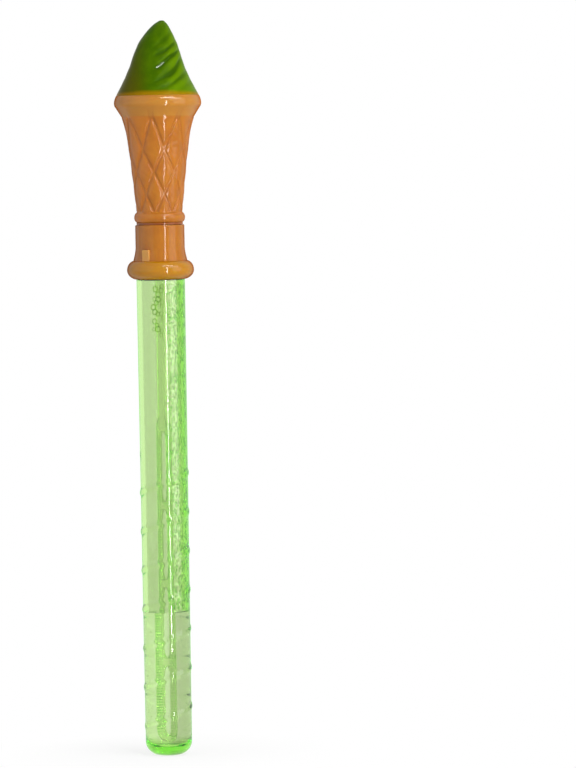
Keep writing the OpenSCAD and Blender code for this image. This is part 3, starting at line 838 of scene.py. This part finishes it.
turns = angles(swirl_sides)
folds = [folded(turns, t) for t in swirl_shares]
swirl_rings = []
for t, fold in zip(swirl_shares, folds):
    reach = swirl_r * profile(t) - fold
    off = lean * t ** lean_power
    swirl_rings.append(np.stack([
        reach * np.cos(turns) + off * math.cos(lean_turn),
        reach * np.sin(turns) + off * math.sin(lean_turn),
        np.full(swirl_sides, swirl_low + swirl_h * t)], axis=1))
tip = (lean * math.cos(lean_turn), lean * math.sin(lean_turn), swirl_low + swirl_h)
spigot_r = mouth_r - spigot_clear
spigot = lathe([(spigot_r, swirl_low - spigot_deep), (spigot_r, swirl_low)], swirl_sides)
swirl_mesh = skin("swirl_top", spigot + swirl_rings, low=(0, 0, swirl_low - spigot_deep), high=tip)
crease_values = swirl_mesh.attributes.new("crease", "FLOAT", "POINT")
for i, depth in enumerate(np.concatenate(folds), len(spigot) * swirl_sides):
    crease_values.data[i].value = depth / fold_deep

deep_green = paint(54, 86, 0)
plain_green = paint(66, 97, 0)
painted_light_green = paint(88, 121, 0)
crease_shade_green = paint(40, 68, 0)
shade_olive = paint(82, 77, 0)
gold = paint(142, 104, 4)
edge_top = 416.6
edge_full = 414.0

swirl_green = Finish("swirl_green", {"IOR": 1.45, "Specular IOR Level": 0.025, "Coat Roughness": 0.06})
mottle = swirl_green.noise(150, 4)
satin = swirl_green.mix(swirl_green.step(mottle, 0.35, 0.7), deep_green, plain_green)
# Painted light: the right side of the swirl is painted a brighter green, less so in the creases.
lit_right_side = swirl_green.step(swirl_green.x, 1 * MM, 12 * MM)
crease = swirl_green.attribute("crease")
satin = swirl_green.mix(lit_right_side * (0.75 - crease * 0.5), satin, painted_light_green)
# Painted shade: the creases of the folds are painted darker, less so at the far right.
shaded = swirl_green.step(swirl_green.x, 20 * MM, 10 * MM) * 0.6 + 0.25
satin = swirl_green.mix(swirl_green.step(crease, 0.1, 0.9) * shaded, satin, crease_shade_green)
# Painted shade: the left side, most towards the foot, is painted olive for its shade and the tan light
# reflected from the cone.
shaded_left = swirl_green.step(swirl_green.x + swirl_green.noise(50) * 8 * MM, 1 * MM, -14 * MM)
shaded_low = swirl_green.step(swirl_green.z, 440 * MM, 416 * MM)
satin = swirl_green.mix(shaded_left * (0.6 + shaded_low * 0.3), satin, shade_olive)
hump = swirl_green.step(swirl_green.x, -24 * MM, -6 * MM) * swirl_green.step(swirl_green.x, 26 * MM, 4 * MM)
arch = swirl_green.z + mottle * 1.2 * MM - hump * MM
sprayed_edge = swirl_green.step(arch, edge_top * MM, edge_full * MM)
satin = swirl_green.mix(sprayed_edge * 0.85, satin, gold)
# Placed glint: only this small streak gets a clear coat, set where it reflects the bar lamp as a glint.
beside = swirl_green.x - streak_x * MM
above = swirl_green.z - streak_z * MM
along = beside * math.cos(streak_rise) + above * math.sin(streak_rise)
across = above * math.cos(streak_rise) - beside * math.sin(streak_rise)
from_streak = ((along * streak_stretch) ** 2 + across ** 2) ** 0.5
streak = swirl_green.step(from_streak, streak_w * MM, streak_core * MM)
glint_coat_patch = streak * swirl_green.step(swirl_green.y, 0.0, -5 * MM)
swirl_green.look(Base_Color=satin, Roughness=0.24 + mottle * 0.14, Coat_Weight=glint_coat_patch,
                 Normal=swirl_green.bump(swirl_green.noise(500, 3), 0.05 * MM, 0.5))
piece("swirl", swirl_mesh, "handle", [swirl_green], "swirl_top", sharp=60)

# Paddle
# One flat moulding of clear green plastic. Its stem is glued in the stopper, and its
# loops hold the films of solution. Teeth and ribs on the rails hold more liquid.
paddle_turn = -65
paddle_half = 8.8
paddle_thick = 3
stem_half = 5
tip_z = 7.7
tooth_deep = 0.7
tooth_step = 1.7
rail_r = paddle_half - tooth_deep
end_z = tip_z + rail_r
toothed_top = 207.7
tang_top = 327.25
rail_w = 2.4
bar_w = 4
loops = 4
paddle_edge = 0.35
tooth_form = [(0.15, 1), (0.55, 1), (0.7, 0), (1, 0)]
rib_from = 5.5
rib_full = 6.2

loop_r = rail_r - rail_w
loop_len = (toothed_top - tip_z - (loops + 1) * bar_w) / loops
teeth = int((toothed_top - end_z) / tooth_step)
side = [(rail_r + deep * tooth_deep, end_z + (i + share) * tooth_step)
        for i in range(teeth) for share, deep in tooth_form]
side += [(rail_r, toothed_top), (stem_half, toothed_top + paddle_half - stem_half), (stem_half, tang_top)]
outlines = [arc(0, end_z, rail_r, rail_r, 180, 360, 32) + side + [(-x, z) for x, z in reversed(side)]]
for i in range(loops):
    low = tip_z + bar_w + i * (loop_len + bar_w)
    outlines.append(arc(0, low + loop_r, loop_r, loop_r, 180, 360)
                    + arc(0, low + loop_len - loop_r, loop_r, loop_r, 0, 180))
paddle_mesh = moulding("wand_paddle", outlines, paddle_thick, paddle_edge, steps=2)
for vertex in paddle_mesh.vertices:
    across, up, out = vertex.co
    vertex.co = (across, -out, up)
paddle_mesh.transform(Quaternion((0, 0, 1), math.radians(paddle_turn)).to_matrix().to_4x4())


def paddle_plastic(name, ior):
    """Clear green plastic with faint flow marks, and ribs on its rails painted a darker green as
    their shade. ior says how much it bends light, which is less where it stands in liquid."""
    finish = Finish(name, {"Transmission Weight": 1.0, "IOR": ior})
    rail = finish.step(finish.from_axis(), rib_from * MM, rib_full * MM)
    ribs = finish.wave(finish.z, end_z * MM, tooth_step * MM) * rail
    cloud = finish.mix(finish.noise(120, 3), (0.78, 0.94, 0.56), (0.87, 0.97, 0.68))
    # Painted shade: the ribs are blended towards a darker green.
    finish.look(Base_Color=finish.mix(ribs, cloud, (0.36, 0.74, 0.16)),
                Roughness=0.05 + finish.noise(200) * 0.08,
                Normal=finish.bump(ribs, 0.12 * MM, 0.6))
    return finish


paddle_dry = paddle_plastic("paddle_dry", ior=1.3)
paddle_dipped = paddle_plastic("paddle_dipped", ior=1.14)
piece("paddle", paddle_mesh, "handle", [paddle_dry, paddle_dipped], "wand_paddle")
for face in paddle_mesh.polygons:
    if face.center.z < liquid_top * MM:
        face.material_index = 1

# Stage
# A plain pale floor that fades to white, soft boxes at the sides, a bar above, and the
# narrow strip whose reflection runs down the tube.
floor_half = 3.0
shadow_r = 0.015
white_r = 0.12
shadow_dim = 0.18
room_light = 0.4

floor_mesh = bpy.data.meshes.new("floor")
corners = [(-1, -1), (1, -1), (1, 1), (-1, 1)]
floor_mesh.from_pydata([(x * floor_half, y * floor_half, 0) for x, y in corners], [], [(0, 1, 2, 3)])
floor = bpy.data.objects.new("floor", floor_mesh)
bpy.context.collection.objects.link(floor)


def shown_directly(tree):
    """1 for rays from the camera, from a reflection or through a clear piece."""
    rays = tree.node("ShaderNodeLightPath").socket.node
    camera_ray, glossy_ray, clear_ray = (
        Socket(tree, rays.outputs[f"Is {kind} Ray"]) for kind in ("Camera", "Glossy", "Transmission"))
    return camera_ray.sum("ADD", camera_ray + glossy_ray, clear_ray, True)


floor_white = Finish("floor_white", {"Base Color": (0.9, 0.9, 0.9), "Roughness": 0.9})
fade = floor_white.step(floor_white.from_axis(), shadow_r, white_r) * shadow_dim + (1 - shadow_dim)
glow = floor_white.node("ShaderNodeEmission", {}, {"Color": (1, 1, 1), "Strength": 1.0})
floor_white.blend(shown_directly(floor_white) * fade, glow)
floor_mesh.materials.append(floor_white.material)

world = bpy.data.worlds.new("studio")
bpy.context.scene.world = world
world.use_nodes = True
world.node_tree.nodes.clear()
sky = Tree(world.node_tree)
room = sky.node("ShaderNodeBackground", {}, {"Color": (1, 1, 1), "Strength": room_light})
white = sky.node("ShaderNodeBackground", {}, {"Color": (1, 1, 1), "Strength": 1.0})
chosen = sky.node("ShaderNodeMixShader", {}, {0: shown_directly(sky), 1: room, 2: white})
sky.node("ShaderNodeOutputWorld", {}, {"Surface": chosen})


def soft_box(name, place, target, size, power):
    """A flat lamp of a width and a height that faces a point."""
    lamp = bpy.data.lights.new(name, "AREA")
    lamp.shape = "RECTANGLE"
    lamp.size, lamp.size_y = size
    lamp.energy = power
    holder = bpy.data.objects.new(name, lamp)
    bpy.context.collection.objects.link(holder)
    holder.location = place
    holder.rotation_euler = (Vector(target) - Vector(place)).to_track_quat("-Z", "Y").to_euler()


middle = (0, 0, 0.24)
strip_turn = math.radians(-67)
strip_far = 0.42
strip_z = 0.29
strip_place = (strip_far * math.cos(strip_turn), strip_far * math.sin(strip_turn), strip_z)
soft_box("strip", strip_place, target=(0, 0, strip_z), size=(0.02, 0.54), power=1.1)
soft_box("bar", (0.24, -0.38, 0.78), target=(0, 0, 0.38), size=(0.36, 0.06), power=1.5)
soft_box("top_right", (0.8, -0.6, 1.0), target=middle, size=(0.7, 0.2), power=3)
soft_box("left", (-1.2, -0.5, 0.6), target=middle, size=(2.0, 2.0), power=6.5)
soft_box("right", (1.2, -0.7, 0.5), target=middle, size=(0.9, 1.0), power=5.2)

# Camera
# It stands 3 m off, just below the height of the rim, turned by a degree as in the
# photograph. Light may bounce often, as it runs far inside the thick clear wall.
camera_place = Vector((0, -3, 0.38))
camera_aim = Vector((0.0785, 0, 0.2315))
camera_roll = math.radians(-0.95)
light_bounces = 96
camera = bpy.data.cameras.new("camera")
camera.lens = 224.9
camera.sensor_width = 36
camera.clip_end = 20
viewer = bpy.data.objects.new("camera", camera)
bpy.context.collection.objects.link(viewer)
viewer.location = camera_place
turn = (camera_aim - camera_place).to_track_quat("-Z", "Y") @ Quaternion((0, 0, 1), camera_roll)
viewer.rotation_euler = turn.to_euler()
scene = bpy.context.scene
scene.camera = viewer
scene.view_settings.view_transform = "Standard"
scene.cycles.max_bounces = light_bounces
scene.cycles.glossy_bounces = light_bounces
scene.cycles.transmission_bounces = light_bounces
scene.cycles.transparent_max_bounces = 32
